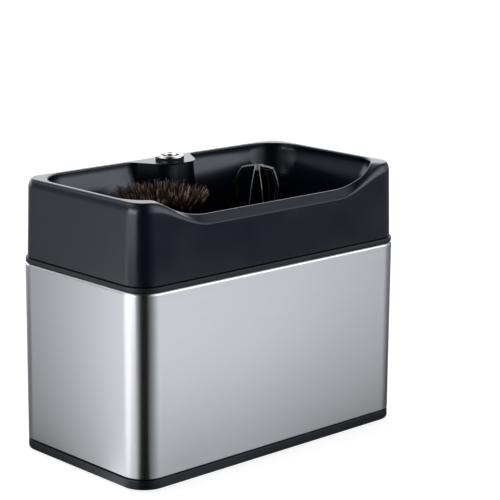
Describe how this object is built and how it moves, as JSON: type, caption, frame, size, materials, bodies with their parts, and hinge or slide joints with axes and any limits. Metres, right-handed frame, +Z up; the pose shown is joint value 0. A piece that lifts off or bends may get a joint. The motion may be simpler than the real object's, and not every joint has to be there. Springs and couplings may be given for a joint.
{
  "type": "motorised knock box",
  "caption": "Rectangular steel knock box with a lift-out grounds bin under a black top unit whose motor turns a bristle brush and a puck scraper.",
  "frame": {"origin": "middle of the footprint at bench height, under the rubber feet", "axes": "+X along the long side with the scraper at +X, +Y to the rear pillar, +Z up; the low lip faces -Y"},
  "size_m": [0.23, 0.125, 0.1847],
  "materials": {
    "black_abs": "satin moulded",
    "filled_nylon": "matte moulded",
    "liner_plastic": "satin moulded",
    "gloss_black": "polished moulded",
    "rubber": "matte",
    "brushed_stainless": "brushed",
    "plated_steel": "zinc plated",
    "polished_stainless": "polished",
    "bronze": "sintered, oiled",
    "copper_winding": "enamelled wire",
    "acetal": "natural moulded",
    "bristle": "cut bristle",
    "circuit_board": "solder resist"
  },
  "bodies": {
    "base": {"base_tray": "black_abs", "ballast_plate": "plated_steel", "steel_sleeve": "brushed_stainless", "base_screw_1": "plated_steel", "base_screw_2": "plated_steel", "base_screw_3": "plated_steel", "base_screw_4": "plated_steel", "rubber_foot_1": "rubber", "rubber_foot_2": "rubber", "rubber_foot_3": "rubber", "rubber_foot_4": "rubber"},
    "bin": {"grounds_bin": "liner_plastic"},
    "top_unit": {"top_housing": "black_abs", "gear_case": "filled_nylon", "gear_case_cover": "filled_nylon", "case_screw_1": "plated_steel", "case_screw_2": "plated_steel", "case_screw_3": "plated_steel", "case_screw_4": "plated_steel", "pillar_screw_1": "plated_steel", "pillar_screw_2": "plated_steel", "motor_can": "plated_steel", "motor_end_cap": "filled_nylon", "motor_cover": "filled_nylon", "brush_lower_bush": "bronze", "brush_upper_bush": "bronze", "scraper_lower_bush": "bronze", "scraper_upper_bush": "bronze", "brush_shaft_seal": "rubber", "scraper_shaft_seal": "rubber", "brush_idler_pin": "plated_steel", "scraper_idler_pin": "plated_steel", "button_bezel": "polished_stainless", "button_gasket": "rubber", "button_nut": "polished_stainless", "button_contact_block": "filled_nylon", "button_spring": "plated_steel", "control_board": "circuit_board", "dc_inlet": "filled_nylon", "dc_inlet_nut": "plated_steel", "motor_wire": "rubber"},
    "motor_rotor": {"motor_shaft": "plated_steel", "motor_armature": "copper_winding", "motor_pinion": "bronze"},
    "brush_idler": {"brush_idler_gear": "acetal"},
    "scraper_idler": {"scraper_idler_gear": "acetal"},
    "brush_head": {"brush_spindle": "plated_steel", "brush_gear": "acetal", "brush_plate": "filled_nylon", "brush_bristles": "bristle", "brush_screw": "plated_steel"},
    "scraper_head": {"scraper_spindle": "plated_steel", "scraper_gear": "acetal", "scraper_plate": "filled_nylon", "scraper_claw": "gloss_black", "scraper_screw": "plated_steel"},
    "power_button": {"button_cap": "polished_stainless"}
  },
  "joints": [
    {"name": "bin_lift", "type": "slide", "parent": "base", "child": "bin", "axis": [0, 0, 1], "range_m": [0, 0.12]},
    {"name": "unit_lift", "type": "slide", "parent": "bin", "child": "top_unit", "axis": [0, 0, 1], "range_m": [0, 0.08]},
    {"name": "brush_spin", "type": "hinge", "parent": "top_unit", "child": "brush_head", "pos_m": [-0.045, 0, 0.15], "axis": [0, 0, 1], "continuous": true},
    {"name": "scraper_spin", "type": "hinge", "parent": "top_unit", "child": "scraper_head", "pos_m": [0.03938, 0, 0.15], "axis": [0, 0, 1], "continuous": true},
    {"name": "brush_idler_spin", "type": "hinge", "parent": "top_unit", "child": "brush_idler", "pos_m": [-0.015, 0, 0.122], "axis": [0, 0, 1], "continuous": true},
    {"name": "scraper_idler_spin", "type": "hinge", "parent": "top_unit", "child": "scraper_idler", "pos_m": [0.015, 0, 0.122], "axis": [0, 0, 1], "continuous": true},
    {"name": "motor_spin", "type": "hinge", "parent": "top_unit", "child": "motor_rotor", "pos_m": [0, 0, 0.122], "axis": [0, 0, 1], "continuous": true},
    {"name": "power_press", "type": "slide", "parent": "top_unit", "child": "power_button", "axis": [0, 0, -1], "range_m": [0, 0.0015], "stiffness_N_per_m": 600, "springref_m": -0.0008, "deforming": ["button_spring"]}
  ],
  "couplings": [
    {"joint": "scraper_spin", "follows": "brush_spin", "ratio": 1.36},
    {"joint": "brush_idler_spin", "follows": "brush_spin", "ratio": -2.4286},
    {"joint": "scraper_idler_spin", "follows": "brush_spin", "ratio": -2.4286},
    {"joint": "motor_spin", "follows": "brush_spin", "ratio": 3.4}
  ]
}
